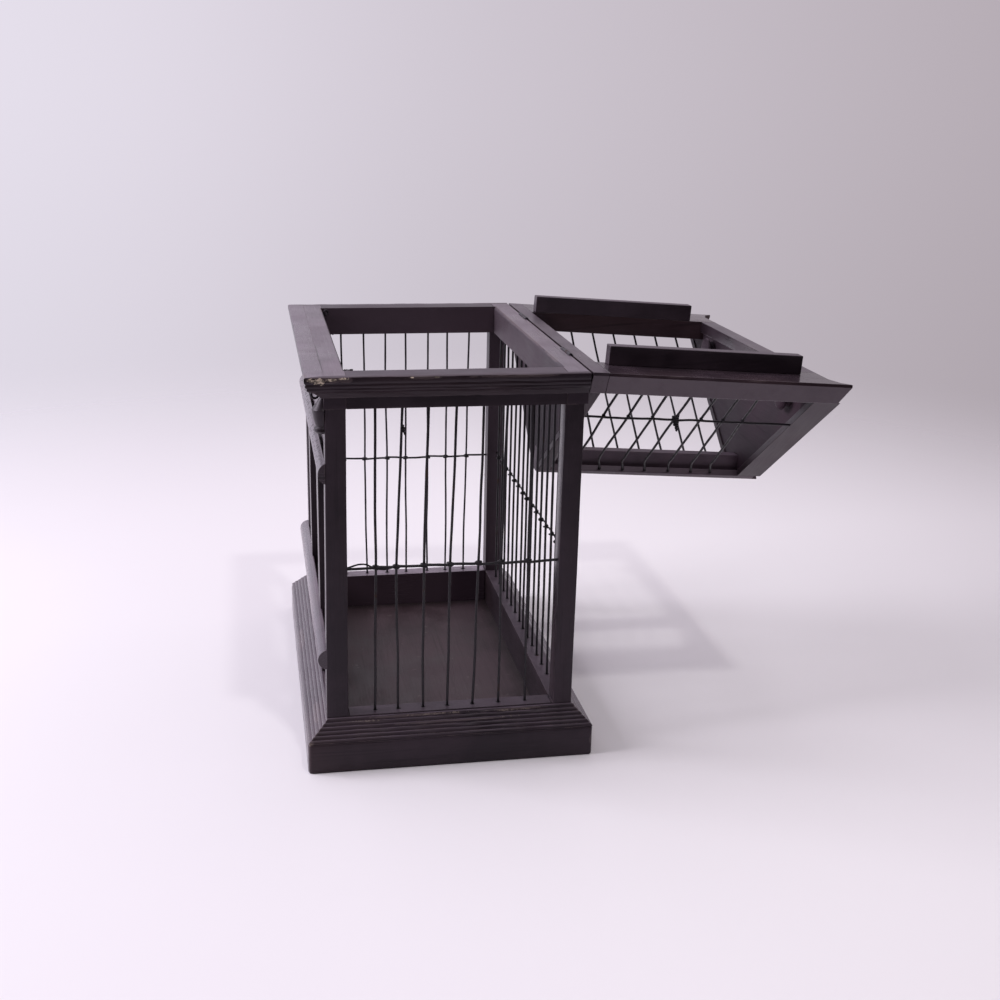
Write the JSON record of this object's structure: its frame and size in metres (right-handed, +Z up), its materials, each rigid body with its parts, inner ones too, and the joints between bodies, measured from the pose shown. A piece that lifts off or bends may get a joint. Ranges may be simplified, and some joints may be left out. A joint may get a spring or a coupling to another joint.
{
  "type": "bird breeding cage",
  "caption": "Wooden breeding cage for canaries with wire walls, a stepped base, a cornice and a hinged gabled wire lid that folds back fully open.",
  "frame": {"origin": "middle of the underside of the base, on the surface the cage stands on", "axes": "+X across the cage towards the hinge side, +Y along the cage away from the near end, +Z up"},
  "size_m": [0.3754, 0.311, 0.2872],
  "materials": {
    "painted_wood": "dark brown paint, worn satin",
    "floor_wood": "dark stain, matt",
    "iron_wire": "oxidised, dull",
    "iron_hardware": "oxidised, dull"
  },
  "bodies": {
    "cage": {"floor_board": "floor_wood", "plinth_front": "painted_wood", "plinth_hinge_side": "painted_wood", "plinth_near_end": "painted_wood", "plinth_far_end": "painted_wood", "base_moulding_front": "painted_wood", "base_moulding_hinge_side": "painted_wood", "base_moulding_near_end": "painted_wood", "base_moulding_far_end": "painted_wood", "post_front_near": "painted_wood", "post_front_far": "painted_wood", "post_hinge_near": "painted_wood", "post_hinge_far": "painted_wood", "bottom_rail_front": "painted_wood", "bottom_rail_hinge_side": "painted_wood", "bottom_rail_near_end": "painted_wood", "bottom_rail_far_end": "painted_wood", "top_rail_front": "painted_wood", "top_rail_hinge_side": "painted_wood", "top_rail_near_end": "painted_wood", "top_rail_far_end": "painted_wood", "cornice_front": "painted_wood", "cornice_near_end": "painted_wood", "cornice_far_end": "painted_wood", "front_frieze": "painted_wood", "front_stile_near": "painted_wood", "front_stile_far": "painted_wood", "front_half_round_upper": "painted_wood", "front_half_round_lower": "painted_wood", "front_split_drops": "painted_wood", "small_screw_eyes": "iron_hardware", "wires_near_end": "iron_wire", "wires_far_end": "iron_wire", "wires_hinge_side": "iron_wire", "wires_front": "iron_wire", "cage_tie_wires": "iron_wire", "hinge_leaves_cage": "iron_hardware", "hinge_pins": "iron_hardware", "hinge_screws_cage": "iron_hardware"},
    "lid": {"lid_hinge_rail": "painted_wood", "lid_front_rail": "painted_wood", "lid_near_rail": "painted_wood", "lid_far_rail": "painted_wood", "lid_near_moulding": "painted_wood", "lid_far_moulding": "painted_wood", "lid_gable_front": "painted_wood", "lid_gable_hinge_side": "painted_wood", "lid_slope_stiles_near": "painted_wood", "lid_slope_stiles_far": "painted_wood", "lid_ridge_beam": "painted_wood", "lid_ridge_strips": "painted_wood", "lid_wires_near": "iron_wire", "lid_wires_far": "iron_wire", "lid_tie_wires": "iron_wire", "lid_locating_board_near": "painted_wood", "lid_locating_board_far": "painted_wood", "lid_gable_knobs": "painted_wood", "hinge_leaves_lid": "iron_hardware", "hinge_screws_lid": "iron_hardware"}
  },
  "joints": [
    {"name": "lid_hinge", "type": "hinge", "parent": "cage", "child": "lid", "pos_m": [0.0904, 0, 0.2751], "axis": [0, -1, 0], "range_deg": [0, 183.7]}
  ]
}
